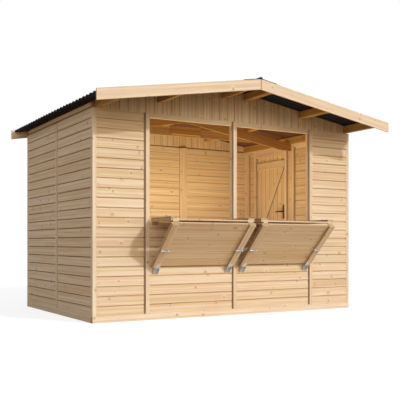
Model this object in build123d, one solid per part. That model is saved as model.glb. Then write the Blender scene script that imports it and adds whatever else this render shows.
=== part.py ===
from build123d import *
import math
import os

# A wooden market stall: a framed and boarded hut with a gabled roof of corrugated sheets,
# two serving openings that close with folding hatches, and a door in the right wall.
# Millimetres, +Z up, front towards -Y. The origin is on the ground under the middle of the roof.

# Hut
hut_width = 3050
hut_depth = 1990
wall_top = 1945
base_height = 60
cladding = 16
stud_depth = 28
stud_width = 40
plate_height = 42

# Joints between wall panels: an open seam, and a cover strip to its right
seam_gap = 22
strip_width = 40
nail_lap = 20
gable_seam = 3
lath_height = 35
lath_lift = 18

# Serving openings in the front wall
bay_width = 980
bay_shift = 24
sill_top = 921
opening_top = 1903
sill_rail_height = 45

# Door in the right wall
door_from_middle = 125
door_opening = 624
door_head = 1858
door_gap = 6
threshold_gap = 8
lintel_height = 45
stop_lap = 20
stop_gap = 5
ledge_height = 90
ledge_depth = 20
ledge_end_gap = 15
ledge_place_shares = (0.07, 0.4, 0.93)
brace_width = 80
handle_height = 1120
handle_from_edge = 45
handle_plate_width = 38
handle_plate_length = 180
handle_plate_depth = 4
handle_neck_radius = 9
handle_reach = 48
lever_length = 110
lever_height = 18
lever_depth = 12

# Roof
roof_pitch = 9.2
roof_lift = 66.4
front_overhang = 460
back_overhang = 130
eave_overhang = 147
purlin_width = 45
purlin_height = 70
purlin_inset = 34
mid_purlin_x = 845
ridge_purlin_x = 130
purlin_play = 2
barge_height = 100
barge_thickness = 18
barge_above = 26
barge_joint = 6
sheet_thickness = 3
wave_height = 28
wave_pitch = 86
wave_steps = 8
sheet_set_back = 35
ridge_gap = 20
cap_wing = 190
cap_thickness = 3
cap_roll = 20
cap_roll_rise = 14

# Roof truss half way along the hut
rafter_depth = 108
rafter_thickness = 28
rafter_tail_cut = 20
rafter_tail_length = 150
apex_gap = 2
collar_width = 1800
collar_height = 93
collar_thickness = 22
collar_drop = 18
cleat_width = 370
cleat_height = 90
cleat_thickness = 22

# Folding hatches: a counter hinged at the sill, and a flap hinged to the counter's outer edge
hatch_side_gap = 8
hatch_end_gap = 5.5
hatch_top_gap = 6.5
counter_length = 400
fold_gap = 8
rail_width = 70
rail_depth = 20
foot_gap = 19
sill_axis_drop = 0.5
hinge_inset = 48

# Butt hinges
hinge_length = 60
hinge_reach = 24
fold_leaf_reach = 18
knuckle_radius = 5
knuckle_clear = 0.5
pin_radius = 2.5
pin_play = 0.06
leaf_thickness = 2
middle_knuckle_share = 0.4
door_hinge_length = 90
door_hinge_reach = 38
door_hinge_place_shares = (0.1, 0.5, 0.9)

# Barrel bolts and foot plates on the flaps, and the rest brackets under them
bolt_place_share = 0.59
bolt_plate_length = 88
bolt_plate_height = 24
bolt_plate_depth = 2
bolt_rod_radius = 4.5
bolt_rod_lift = 1
bolt_keeper_radius = 8.5
bolt_keeper_length = 14
bolt_knob_radius = 4
bolt_knob_height = 16
foot_plate_width = 50
foot_plate_length = 45
foot_plate_depth = 2
bracket_width = 56
bracket_sheet = 2.5
bracket_play = 2
bracket_front = 8
bracket_drop = 52

overrun = 10

# Sizes worked out from the ones above
wall = cladding + stud_depth
half_width = hut_width / 2
roof_length = hut_depth + front_overhang + back_overhang
roof_front = -roof_length / 2
roof_back = roof_length / 2
front_y = roof_front + front_overhang
back_y = front_y + hut_depth
middle_y = front_y + hut_depth / 2
slope = math.tan(math.radians(roof_pitch))
plumb_share = 1 / math.cos(math.radians(roof_pitch))
eave_purlin = (half_width - purlin_inset - purlin_width, half_width - purlin_inset)
barge_end = half_width + eave_overhang
axis_offset = knuckle_radius + knuckle_clear
post_width = seam_gap + strip_width

CLADDING = (0, cladding)
STUD = (cladding, wall)
WHOLE = (0, wall)


def block(x, y, z):
    """A box from a low and a high value along each axis."""
    sides = [high - low for low, high in (x, y, z)]
    middle = [(high + low) / 2 for low, high in (x, y, z)]
    return Pos(*middle) * Box(*sides)


def across(points, y):
    """A prism with its outline in XZ, between two places along Y."""
    face = Plane.XZ * make_face(Polyline(*points, close=True))
    return Pos(0, y[1], 0) * extrude(face, y[1] - y[0])


def along(points, x):
    """A prism with its outline in YZ, between two places along X."""
    face = Plane.YZ * make_face(Polyline(*points, close=True))
    return Pos(x[0], 0, 0) * extrude(face, x[1] - x[0])


def mirrored(shape):
    """The same piece on the other side of the ridge."""
    return mirror(shape, about=Plane.YZ)


def roof_z(x):
    """Underside of the roof sheets at a distance from the ridge."""
    return wall_top + roof_lift + (half_width - abs(x)) * slope


# Walls

def wall_piece(side, run, depth, height):
    """A piece of one wall: its run along the wall, its depth in from the outer face, its height."""
    near, far = depth
    if side == "front":
        return block(run, (front_y + near, front_y + far), height)
    if side == "back":
        return block(run, (back_y - far, back_y - near), height)
    if side == "left":
        return block((-half_width + near, -half_width + far), run, height)
    return block((half_width - far, half_width - near), run, height)


def seam_run(seam):
    return (seam - seam_gap / 2, seam + seam_gap / 2)


def strip_run(seam):
    return (seam + seam_gap / 2, seam + seam_gap / 2 + strip_width)


def post_run(seam):
    """The post behind a seam and its strip, with a lap for the board ends on both sides."""
    return (seam_run(seam)[0] - nail_lap, strip_run(seam)[1] + nail_lap)


upright = (base_height, wall_top)
front_seams = [bay * bay_width - bay_shift for bay in (-1, 0, 1)]
back_seams = [-half_width / 3 - post_width / 2, half_width / 3 - post_width / 2]
side_seam = middle_y - post_width / 2
left_end = (-half_width, -half_width + strip_width)
right_end = (half_width - strip_width, half_width)
side_run = (front_y + wall, back_y - wall)
door_front = middle_y + door_from_middle
door_back = door_front + door_opening
openings = [
    (strip_run(front_seams[bay])[1], seam_run(front_seams[bay + 1])[0])
    for bay in (0, 1)
]


def front_boards():
    low, high = front_seams[0], front_seams[2]
    runs = [(left_end[1], seam_run(low)[0]), (strip_run(high)[1], right_end[0])]
    panels = [wall_piece("front", run, CLADDING, upright) for run in runs]
    aprons = [wall_piece("front", run, CLADDING, (base_height, sill_top)) for run in openings]
    return panels + aprons


def front_strips():
    runs = [left_end, right_end] + [strip_run(seam) for seam in front_seams]
    return [wall_piece("front", run, CLADDING, upright) for run in runs]


def front_posts():
    """Posts flush with the openings, and corner posts that take the board ends."""
    runs = [(seam_run(seam)[0], strip_run(seam)[1]) for seam in front_seams]
    runs.append((left_end[0], left_end[1] + nail_lap))
    runs.append((right_end[0] - nail_lap, right_end[1]))
    return [wall_piece("front", run, STUD, upright) for run in runs]


def front_studs():
    """Studs that take the board ends beside the posts."""
    left_panel = seam_run(front_seams[0])[0]
    right_panel = strip_run(front_seams[2])[1]
    studs = [
        wall_piece("front", (left_panel - stud_width, left_panel), STUD, upright),
        wall_piece("front", (right_panel, right_panel + stud_width), STUD, upright),
    ]
    under_sill = (base_height, sill_top - sill_rail_height)
    for low, high in openings:
        studs.append(wall_piece("front", (low, low + stud_width), STUD, under_sill))
        studs.append(wall_piece("front", (high - stud_width, high), STUD, under_sill))
    return studs


def opening_headers():
    return [wall_piece("front", run, WHOLE, (opening_top, wall_top)) for run in openings]


def opening_sills():
    height = (sill_top - sill_rail_height, sill_top)
    return [wall_piece("front", run, STUD, height) for run in openings]


def back_boards():
    edges = [left_end[1]]
    for seam in back_seams:
        edges += [seam_run(seam)[0], strip_run(seam)[1]]
    edges.append(right_end[0])
    return [
        wall_piece("back", (low, high), CLADDING, upright)
        for low, high in zip(edges[::2], edges[1::2])
    ]


def back_strips():
    runs = [left_end, right_end] + [strip_run(seam) for seam in back_seams]
    return [wall_piece("back", run, CLADDING, upright) for run in runs]


def back_posts():
    runs = [post_run(seam) for seam in back_seams]
    runs.append((left_end[0], left_end[1] + nail_lap))
    runs.append((right_end[0] - nail_lap, right_end[1]))
    return [wall_piece("back", run, STUD, upright) for run in runs]


def left_boards():
    runs = [(side_run[0], seam_run(side_seam)[0]), (strip_run(side_seam)[1], side_run[1])]
    return [wall_piece("left", run, CLADDING, upright) for run in runs]


def side_strips():
    """An upright strip on each side wall, and a lath on the eave purlin above it."""
    lath_z = (wall_top + lath_lift, wall_top + lath_lift + lath_height)
    strips = []
    for side in ("left", "right"):
        strips.append(wall_piece(side, strip_run(side_seam), CLADDING, upright))
        strips.append(wall_piece(side, side_run, (0, purlin_inset), lath_z))
    return strips


def stud_runs(side):
    """Corner studs and the joint post; the right wall also has a post on each side of the door."""
    runs = [
        (side_run[0], side_run[0] + stud_width),
        (side_run[1] - stud_width, side_run[1]),
        post_run(side_seam),
    ]
    if side == "right":
        runs.append((door_front - stud_width, door_front))
        runs.append((door_back, door_back + stud_width))
    return sorted(runs)


def side_posts(side):
    return [wall_piece(side, run, STUD, upright) for run in stud_runs(side)]


def side_plates():
    """Plates between the studs at the tops of the side walls, under the eave purlins."""
    height = (wall_top - plate_height, wall_top)
    plates = []
    for side in ("left", "right"):
        runs = stud_runs(side)
        for before, after in zip(runs, runs[1:]):
            plates.append(wall_piece(side, (before[1], after[0]), STUD, height))
    return plates


def right_front_boards():
    return [wall_piece("right", (side_run[0], seam_run(side_seam)[0]), CLADDING, upright)]


def door_side_boards():
    runs = [(strip_run(side_seam)[1], door_front), (door_back, side_run[1])]
    return [wall_piece("right", run, CLADDING, upright) for run in runs]


def over_door_boards():
    return [wall_piece("right", (door_front, door_back), CLADDING, (door_head, wall_top))]


def door_lintel():
    """A lintel whose inner part reaches down behind the head of the door as a stop."""
    run = (door_front, door_back)
    lintel = wall_piece("right", run, STUD, (door_head, door_head + lintel_height))
    return [lintel + wall_piece("right", run, (cladding + stop_gap, wall), (door_head - stop_lap, door_head))]


def long_base_rails():
    run = (-half_width, half_width)
    return [wall_piece(side, run, WHOLE, (0, base_height)) for side in ("front", "back")]


def short_base_rails():
    return [wall_piece(side, side_run, WHOLE, (0, base_height)) for side in ("left", "right")]


# Roof

def purlin_outline(x, play=0):
    """Plumb sides, with top and bottom in the roof's slope; play widens it for a notch."""
    low = x - purlin_width / 2 - play
    high = x + purlin_width / 2 + play
    top = overrun if play else 0
    return [
        (low, roof_z(low) - purlin_height),
        (high, roof_z(high) - purlin_height),
        (high, roof_z(high) + top),
        (low, roof_z(low) + top),
    ]


def eave_purlin_outline():
    """The purlin at the eaves lies level on the side wall."""
    inner, outer = eave_purlin
    return [(inner, wall_top), (outer, wall_top), (outer, roof_z(outer)), (inner, roof_z(inner))]


def purlins():
    """Six purlins, from one pair of bargeboards to the other."""
    run = (roof_front + barge_thickness, roof_back - barge_thickness)
    outlines = [eave_purlin_outline()]
    outlines += [purlin_outline(x) for x in (mid_purlin_x, ridge_purlin_x)]
    right = [across(outline, run) for outline in outlines]
    return right + [mirrored(purlin) for purlin in right]


def gable(y):
    """Two halves of a boarded gable, notched over the purlins, with a seam under the ridge."""
    inner, outer = gable_seam / 2, eave_purlin[0]
    outline = [(inner, wall_top), (outer, wall_top), (outer, roof_z(outer)), (inner, roof_z(inner))]
    right = across(outline, y)
    cut = (y[0] - overrun, y[1] + overrun)
    for x in (mid_purlin_x, ridge_purlin_x):
        right -= across(purlin_outline(x, purlin_play), cut)
    return [right, mirrored(right)]


def front_gable():
    return gable((front_y, front_y + cladding))


def back_gable():
    return gable((back_y - cladding, back_y))


def bargeboards():
    """The right pair, front and back, cut plumb beside an open joint under the ridge."""
    near = barge_joint / 2
    top_end, top_ridge = roof_z(barge_end) + barge_above, roof_z(near) + barge_above
    outline = [
        (near, top_ridge - barge_height),
        (barge_end, top_end - barge_height),
        (barge_end, top_end),
        (near, top_ridge),
    ]
    runs = [(roof_front, roof_front + barge_thickness), (roof_back - barge_thickness, roof_back)]
    return [across(outline, run) for run in runs]


def roof_sheet():
    """The right slope: a waved sheet that lies on the purlins, its waves running down the slope."""
    length = roof_length - 2 * barge_thickness
    waves = round(length / wave_pitch)
    steps = waves * wave_steps
    rise = wave_height - sheet_thickness
    under = []
    for step in range(steps + 1):
        turn = 2 * math.pi * step / wave_steps
        under.append((length * (step / steps - 0.5), rise * (1 - math.cos(turn)) / 2))
    over = [(y, height + sheet_thickness) for y, height in reversed(under)]
    start = ridge_gap / 2
    lean = math.radians(roof_pitch)
    plane = Plane(
        origin=(start, 0, roof_z(start)),
        x_dir=(0, 1, 0),
        z_dir=(math.cos(lean), 0, -math.sin(lean)),
    )
    reach = (barge_end - sheet_set_back - start) * plumb_share
    return extrude(plane * make_face(Polyline(*under, *over, close=True)), reach)


def ridge_cap():
    """A bent sheet on the wave crests, with a roll over the ridge."""
    def crest(x):
        return roof_z(x) + wave_height * plumb_share

    def edge(lift):
        wing = (cap_wing, crest(cap_wing) + lift)
        foot = (cap_roll, crest(cap_roll) + lift)
        top = (0, crest(0) + cap_roll_rise + lift)
        return wing, foot, top

    lower, upper = edge(0), edge(cap_thickness * plumb_share)

    def other(point):
        return (-point[0], point[1])

    outline = Polyline(other(lower[1]), other(lower[0]), other(upper[0]), other(upper[1]))
    outline += ThreePointArc(other(upper[1]), upper[2], upper[1])
    outline += Polyline(upper[1], upper[0], lower[0], lower[1])
    outline += ThreePointArc(lower[1], lower[2], other(lower[1]))
    return Pos(0, roof_back, 0) * extrude(Plane.XZ * make_face(outline), roof_length)


def rafters():
    """Two rafters under the purlins, butted at the ridge, their tails cut level at the wall posts."""
    tail = half_width - wall
    near = apex_gap / 2
    kink = tail - rafter_tail_length
    seat = roof_z(tail) - purlin_height - rafter_depth + rafter_tail_cut
    outline = [
        (near, roof_z(near) - purlin_height - rafter_depth),
        (kink, roof_z(kink) - purlin_height - rafter_depth),
        (tail, seat),
        (tail, roof_z(tail) - purlin_height),
        (near, roof_z(near) - purlin_height),
    ]
    run = (middle_y - rafter_thickness / 2, middle_y + rafter_thickness / 2)
    right = across(outline, run) - across(eave_purlin_outline(), run)
    return [right, mirrored(right)]


def collar():
    """A level board across the backs of the rafters."""
    front = middle_y + rafter_thickness / 2
    half = collar_width / 2
    bottom = wall_top - collar_drop
    return block((-half, half), (front, front + collar_thickness), (bottom, bottom + collar_height))


def cleat():
    """A short board on the front of the collar, clear of the rafters above it."""
    back = middle_y + rafter_thickness / 2
    half = cleat_width / 2
    return block((-half, half), (back - cleat_thickness, back), (wall_top, wall_top + cleat_height))


# Hinges: the axis runs along X through the origin, and a leaf's plate reaches towards +Y

def knuckle_runs(length):
    """Where the two end knuckles and the middle knuckle lie along a hinge."""
    half = length / 2
    middle = half * middle_knuckle_share
    ends = [(-half, -middle - knuckle_clear), (middle + knuckle_clear, half)]
    return ends, [(-middle, middle)]


def knuckle(run, radius):
    barrel = Cylinder(radius, run[1] - run[0], rotation=(0, 90, 0))
    return Pos((run[0] + run[1]) / 2, 0, 0) * barrel


def hinge_leaf(length, reach, mount, carries_pin):
    """One leaf, its back on a face that lies mount above the axis."""
    ends, middle = knuckle_runs(length)
    runs = ends if carries_pin else middle
    thickness = (mount - leaf_thickness, mount)
    leaf = block((-length / 2, length / 2), (axis_offset, axis_offset + reach), thickness)
    for run in runs:
        leaf += block(run, (0, axis_offset), thickness) + knuckle(run, knuckle_radius)
    if carries_pin:
        return leaf + knuckle((-length / 2, length / 2), pin_radius)
    return leaf - knuckle((-length / 2, length / 2), pin_radius + pin_play)


def set_hinge(leaf, place, axis, face):
    """Put a leaf on its axis, with its back towards a face."""
    return Plane(origin=place, x_dir=axis, z_dir=face).location * leaf


# Hatches

hatch_thickness = cladding + rail_depth
sill_axis = (front_y - axis_offset, sill_top - sill_axis_drop)
counter_under = sill_axis[1] + axis_offset
counter_start = sill_axis_drop + hatch_end_gap
closed_low = sill_axis[1] + counter_start
flap_length = opening_top - hatch_top_gap - closed_low - counter_length - fold_gap
counter_inner = sill_axis[0] - counter_start
counter_outer = counter_inner - counter_length
fold_axis = (counter_outer - fold_gap / 2, sill_axis[1])
foot_radius = math.hypot(fold_gap / 2 + flap_length, axis_offset)
foot_reach = front_y - fold_axis[0] - foot_gap
foot_lead = math.atan2(axis_offset, fold_gap / 2 + flap_length)
flap_drop = math.degrees(math.acos(foot_reach / foot_radius) - foot_lead)
flap_fold = 180 - flap_drop
flap_start = fold_axis[0] - fold_gap / 2
flap_end = flap_start - flap_length
boards_z = (counter_under, counter_under + cladding)
rails_z = (counter_under + cladding, counter_under + hatch_thickness)


def folded(shape):
    """Turn a piece of the flap from in line with the counter to its place at rest."""
    return shape.rotate(Axis((0, *fold_axis), (1, 0, 0)), flap_fold)


def rail_runs(run):
    return [(run[0], run[0] + rail_width), (run[1] - rail_width, run[1])]


def fitting_places(run):
    """Middles of the hinges, plates and brackets near the two ends of a hatch."""
    return [run[0] + hinge_inset, run[1] - hinge_inset]


def counter_hinges(run):
    """Moving leaves of the sill hinges, and the counter's leaves of the fold hinges."""
    sill = hinge_leaf(hinge_length, hinge_reach, axis_offset, False)
    fold = hinge_leaf(hinge_length, fold_leaf_reach, fold_gap / 2, True)
    leaves = []
    for x in fitting_places(run):
        leaves.append(set_hinge(sill, (x, *sill_axis), (-1, 0, 0), (0, 0, 1)))
        leaves.append(set_hinge(fold, (x, *fold_axis), (-1, 0, 0), (0, 1, 0)))
    return leaves


def flap_hinges(run):
    leaf = hinge_leaf(hinge_length, fold_leaf_reach, fold_gap / 2, False)
    return [
        folded(set_hinge(leaf, (x, *fold_axis), (1, 0, 0), (0, -1, 0)))
        for x in fitting_places(run)
    ]


def barrel_bolt():
    """A plate with two keepers, and a rod with a knob; plate on XY, rod along X."""
    half = bolt_plate_length / 2
    axis = bolt_plate_depth + bolt_rod_lift + bolt_rod_radius
    tall = bolt_plate_height / 2
    bolt = block((-half, half), (-tall, tall), (0, bolt_plate_depth))
    rod = Cylinder(bolt_rod_radius, bolt_plate_length, rotation=(0, 90, 0))
    bolt += Pos(0, 0, axis) * rod
    keeper = Cylinder(bolt_keeper_radius, bolt_keeper_length, rotation=(0, 90, 0))
    keeper -= Pos(0, 0, -axis - bolt_keeper_radius) * Box(*[2 * bolt_keeper_radius] * 3)
    for x in (-half + bolt_keeper_length, half - bolt_keeper_length):
        bolt += Pos(x, 0, axis) * keeper
    knob = Cylinder(bolt_knob_radius, bolt_knob_height, align=(Align.CENTER, Align.CENTER, Align.MIN))
    return bolt + Pos(0, 0, axis) * knob


def flap_fittings(run):
    """Barrel bolts and foot plates on the rails of a flap."""
    bolt_y = flap_start - flap_length * bolt_place_share
    middle = bolt_plate_length / 2
    pieces = [Pos(x, bolt_y, rails_z[1]) * barrel_bolt() for x in (run[0] + middle, run[1] - middle)]
    plate_z = (rails_z[1], rails_z[1] + foot_plate_depth)
    for x in fitting_places(run):
        plate_x = (x - foot_plate_width / 2, x + foot_plate_width / 2)
        pieces.append(block(plate_x, (flap_end, flap_end + foot_plate_length), plate_z))
    return [folded(piece) for piece in pieces]


def rest_bracket(x):
    """A folded bracket on the wall: back plate, a seat square to the flap's end, and two cheeks."""
    drop = math.radians(flap_drop)

    def seat_point(forward, below):
        """A point by its distance in front of the fold axis line, and beyond the flap's end."""
        reach = fold_gap / 2 + flap_length + bracket_play + below
        y = fold_axis[0] + reach * math.cos(drop) - forward * math.sin(drop)
        return (y, fold_axis[1] - reach * math.sin(drop) - forward * math.cos(drop))

    front = axis_offset + hatch_thickness + bracket_front
    tip, tip_under = seat_point(front, 0), seat_point(front, bracket_sheet)
    rise = math.tan(math.pi / 2 - drop)
    top = tip[1] + (front_y - tip[0]) * rise
    under = tip_under[1] + (front_y - tip_under[0]) * rise
    bottom = tip_under[1] - bracket_drop
    width = (x - bracket_width / 2, x + bracket_width / 2)
    bracket = along([(front_y, under), (front_y, top), tip, tip_under], width)
    bracket += block(width, (front_y - bracket_sheet, front_y), (bottom, under))
    cheek = [(front_y, under), tip_under, (front_y - bracket_sheet, bottom), (front_y, bottom)]
    for low in (width[0], width[1] - bracket_sheet):
        bracket += along(cheek, (low, low + bracket_sheet))
    return bracket


def hatch_nodes(side, opening):
    """All pieces of one hatch that move, by node name."""
    run = (opening[0] + hatch_side_gap, opening[1] - hatch_side_gap)
    counter_y, flap_y = (counter_outer, counter_inner), (flap_end, flap_start)
    return {
        f"{side}_counter_boards": [block(run, counter_y, boards_z)],
        f"{side}_counter_rails": [block(rail, counter_y, rails_z) for rail in rail_runs(run)],
        f"{side}_counter_hinges": counter_hinges(run),
        f"{side}_flap_boards": [folded(block(run, flap_y, boards_z))],
        f"{side}_flap_rails": [folded(block(rail, flap_y, rails_z)) for rail in rail_runs(run)],
        f"{side}_flap_hinges": flap_hinges(run),
        f"{side}_flap_fittings": flap_fittings(run),
    }


def hatch_fitting_places():
    places = []
    for low, high in openings:
        places += fitting_places((low + hatch_side_gap, high - hatch_side_gap))
    return places


def sill_hinges():
    leaf = hinge_leaf(hinge_length, hinge_reach, axis_offset, True)
    return [set_hinge(leaf, (x, *sill_axis), (1, 0, 0), (0, 1, 0)) for x in hatch_fitting_places()]


def rest_brackets():
    return [rest_bracket(x) for x in hatch_fitting_places()]


# Door

door_y = (door_front + door_gap, door_back - door_gap)
door_z = (base_height + threshold_gap, door_head - door_gap)
door_height = door_z[1] - door_z[0]
door_axis = (half_width + axis_offset, door_back - door_gap / 2)
door_inside = half_width - cladding


def ledge_z(share):
    middle = door_z[0] + door_height * share
    return (middle - ledge_height / 2, middle + ledge_height / 2)


def door_leaf():
    return [block((door_inside, half_width), door_y, door_z)]


def door_ledges():
    run = (door_y[0] + ledge_end_gap, door_y[1] - ledge_end_gap)
    depth = (door_inside - ledge_depth, door_inside)
    return [block(depth, run, ledge_z(share)) for share in ledge_place_shares]


def door_braces():
    """Braces from the hinge side up to the latch side, between neighbouring ledges."""
    low_y, high_y = door_y[0] + ledge_end_gap, door_y[1] - ledge_end_gap
    depth = (door_inside - ledge_depth, door_inside)
    braces = []
    for lower, upper in zip(ledge_place_shares, ledge_place_shares[1:]):
        low_z, high_z = ledge_z(lower)[1], ledge_z(upper)[0]
        outline = [
            (high_y, low_z),
            (low_y + brace_width, high_z),
            (low_y, high_z),
            (high_y - brace_width, low_z),
        ]
        braces.append(along(outline, depth))
    return braces


def door_hinges(carries_pin):
    """Leaves on the outside: the frame's carry the pins, the door's turn on them."""
    leaf = hinge_leaf(door_hinge_length, door_hinge_reach, axis_offset, carries_pin)
    up = (0, 0, 1 if carries_pin else -1)
    places = [door_z[0] + door_height * share for share in door_hinge_place_shares]
    return [set_hinge(leaf, (*door_axis, z), up, (-1, 0, 0)) for z in places]


def lever_handle():
    """A plate with round ends in XY, a neck, and a lever towards +Y with its end rounded."""
    plate = extrude(SlotOverall(handle_plate_length, handle_plate_width), handle_plate_depth)
    bottom = (Align.CENTER, Align.CENTER, Align.MIN)
    neck = Cylinder(handle_neck_radius, handle_reach, align=bottom)
    end = (-lever_height / 2, lever_length)
    lever = block((-lever_height / 2, lever_height / 2), end, (handle_reach - lever_depth, handle_reach))
    lever = fillet(lever.edges().filter_by(Axis.Y), lever_depth / 3)
    return plate + neck + lever


def door_handles():
    """A lever handle on each face of the door, near its front edge."""
    y = door_y[0] + handle_from_edge
    inside = Plane(origin=(door_inside, y, handle_height), x_dir=(0, 0, 1), z_dir=(-1, 0, 0))
    outside = Plane(origin=(half_width, y, handle_height), x_dir=(0, 0, -1), z_dir=(1, 0, 0))
    return [plane.location * lever_handle() for plane in (inside, outside)]


def nodes():
    """Every node's solids, by name."""
    sheet, boards = roof_sheet(), bargeboards()
    parts = {
        "long_base_rails": long_base_rails(),
        "short_base_rails": short_base_rails(),
        "front_wall_boards": front_boards(),
        "front_cover_strips": front_strips(),
        "front_posts": front_posts(),
        "front_studs": front_studs(),
        "opening_headers": opening_headers(),
        "opening_sills": opening_sills(),
        "back_wall_boards": back_boards(),
        "back_cover_strips": back_strips(),
        "back_posts": back_posts(),
        "left_wall_boards": left_boards(),
        "left_posts": side_posts("left"),
        "right_wall_boards": right_front_boards(),
        "door_side_boards": door_side_boards(),
        "over_door_boards": over_door_boards(),
        "right_posts": side_posts("right"),
        "side_top_plates": side_plates(),
        "door_lintel": door_lintel(),
        "side_cover_strips": side_strips(),
        "front_gable": front_gable(),
        "back_gable": back_gable(),
        "purlins": purlins(),
        "truss_rafters": rafters(),
        "truss_collar": [collar()],
        "truss_cleat": [cleat()],
        "right_bargeboards": boards,
        "left_bargeboards": [mirrored(board) for board in boards],
        "right_roof_sheet": [sheet],
        "left_roof_sheet": [mirrored(sheet)],
        "ridge_cap": [ridge_cap()],
        "sill_hinges": sill_hinges(),
        "rest_brackets": rest_brackets(),
        "door_leaf": door_leaf(),
        "door_ledges": door_ledges(),
        "door_braces": door_braces(),
        "door_frame_hinges": door_hinges(True),
        "door_leaf_hinges": door_hinges(False),
        "door_handles": door_handles(),
    }
    for side, opening in zip(("left", "right"), openings):
        parts.update(hatch_nodes(side, opening))
    return parts


os.makedirs("parts", exist_ok=True)
for name, solids in nodes().items():
    export_step(solids[0] if len(solids) == 1 else Compound(solids), f"parts/{name}.step")
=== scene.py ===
"""A wooden market stall: lapped boards, planed timber, waved roof sheets and zinc fittings."""

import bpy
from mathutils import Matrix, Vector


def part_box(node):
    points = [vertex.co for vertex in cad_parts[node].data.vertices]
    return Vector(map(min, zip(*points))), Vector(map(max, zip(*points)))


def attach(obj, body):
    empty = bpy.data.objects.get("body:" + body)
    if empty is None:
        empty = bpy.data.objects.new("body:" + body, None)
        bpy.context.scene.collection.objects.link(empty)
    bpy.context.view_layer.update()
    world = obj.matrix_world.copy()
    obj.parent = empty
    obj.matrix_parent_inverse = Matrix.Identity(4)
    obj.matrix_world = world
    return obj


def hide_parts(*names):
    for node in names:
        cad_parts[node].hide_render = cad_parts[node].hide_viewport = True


bl_info = {
    "name": "Market stall",
    "version": (1, 0, 0),
    "blender": (4, 5, 0),
    "location": "3D View > Sidebar > Stall",
    "description": "Builds the boards, timber, roofing and fittings of a wooden market stall",
    "category": "Object",
}

import math
import random
from functools import partial

import bmesh
import bpy
from bpy.props import FloatProperty, FloatVectorProperty, IntProperty, PointerProperty
from mathutils import Matrix, Vector

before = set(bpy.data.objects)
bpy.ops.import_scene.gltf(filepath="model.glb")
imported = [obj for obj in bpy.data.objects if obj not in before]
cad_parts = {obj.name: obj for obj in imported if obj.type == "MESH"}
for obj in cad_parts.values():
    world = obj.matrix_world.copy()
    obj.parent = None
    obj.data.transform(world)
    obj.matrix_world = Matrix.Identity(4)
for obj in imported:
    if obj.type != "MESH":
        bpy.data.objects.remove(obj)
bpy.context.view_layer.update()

UP = Vector((0, 0, 1))
SIDES = ("left", "right")
MERGE = 1e-5
# Least dot products of directions that count as the same, and of an edge that runs along a plank
SAME_WAY, ALONG = 0.99, 0.999
# Largest dot product of two edges that count as crossing
CROSSING = 0.3
# Angles between faces, in radians, from which an edge is eased, and from which it is a plank's corner
EASED_ANGLE, CORNER_ANGLE = 0.3, 1
# Angle up to which triangles count as one flat face
FLAT_ANGLE = math.radians(1)
# Angles from which a smooth surface shows a crease
FOLD_ANGLE, WAVE_ANGLE = math.radians(30), math.radians(40)
# A last course lower than this share of a course is part of the board below it
LEAST_COURSE = 0.1
# Metres along a log, beside its heart and out from it, between which a piece is cut
LOG_PLACES = ((0, 40), (-0.05, 0.05), (0.03, 0.12))


def linear(code):
    """Linear colour of an sRGB hex value."""
    parts = [int(code[i:i + 2], 16) / 255 for i in (1, 3, 5)]
    return tuple(c / 12.92 if c <= 0.04045 else ((c + 0.055) / 1.055) ** 2.4 for c in parts)


def setting(kind, name, description, default, **options):
    """A setting with its name, description and default value."""
    return kind(name=name, description=description, default=default, **options)


def colour(name, description, code):
    """A setting for a colour, from its sRGB hex value."""
    return setting(FloatVectorProperty, name, description, linear(code), subtype="COLOR", min=0, max=1)


length = partial(setting, FloatProperty, unit="LENGTH", precision=4)
angle = partial(setting, FloatProperty, subtype="ANGLE")
factor = partial(setting, FloatProperty, subtype="FACTOR", min=0, max=1)
level = partial(setting, FloatProperty, min=0)
power = partial(setting, FloatProperty, unit="POWER", min=0)
number = partial(setting, IntProperty, min=1)
facing = partial(setting, FloatVectorProperty, subtype="DIRECTION")
point = partial(setting, FloatVectorProperty, subtype="TRANSLATION", unit="LENGTH")


class StallBoards(bpy.types.PropertyGroup):
    """Sizes of the boards, planks and planed timber."""

    course: length("Course", "Height that each wall board shows", 0.09)
    lap_step: length("Lap step", "Depth of the open joint under a board's foot", 0.011)
    lap_gap: length("Lap gap", "Height of the open joint under a board's foot", 0.009)
    lean: length("Lean", "How far a board's face leans in towards its top", 0.0025)
    lap_cover: length("Lap cover", "How far a board's foot covers the board below", 0.010)
    lap_fit: length("Lap fit", "Play between a board's foot and the board behind it", 0.0004)
    inner_joint: length("Inner joint", "Open joint between boards on the inside", 0.005)
    foot_round: length("Foot round", "Easing of a board's lower edge", 0.002)
    plank: length("Plank", "Width of the planks in gables, hatches and door", 0.09)
    groove: length("Groove", "Chamfer on the long edges of planks", 0.0035)
    foot_chamfer: length("Foot chamfer", "Chamfer inside along the foot of the gables", 0.012)
    arris: length("Arris", "Easing of the edges of planed timber", 0.002)


class StallShade(bpy.types.PropertyGroup):
    """How far painted shade takes the wood in joints and on hidden sides towards the joint colour."""

    front_laps: factor("Front laps", "Laps of the front wall", 0.25)
    other_laps: factor("Other laps", "Laps of the other walls", 0.7)
    posts: factor("Posts", "Sides of the posts that face the boards", 0.7)
    right_posts: factor("Right posts", "Sides of the right posts that face the boards and the front", 0.45)
    gables: factor("Gables", "Grooves between the gable planks", 0.5)
    gable_foot: factor("Gable foot", "Open joint inside along the foot of the gables", 1)
    hatches: factor("Hatches", "Grooves between the planks of the counters and flaps", 0.25)
    hatch_rails: factor("Hatch rails", "Sides of the hatch rails", 0.65)
    door: factor("Door", "Grooves between the door planks", 0.6)
    braces: factor("Braces", "Lower edges of the door braces", 0.7)


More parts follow.
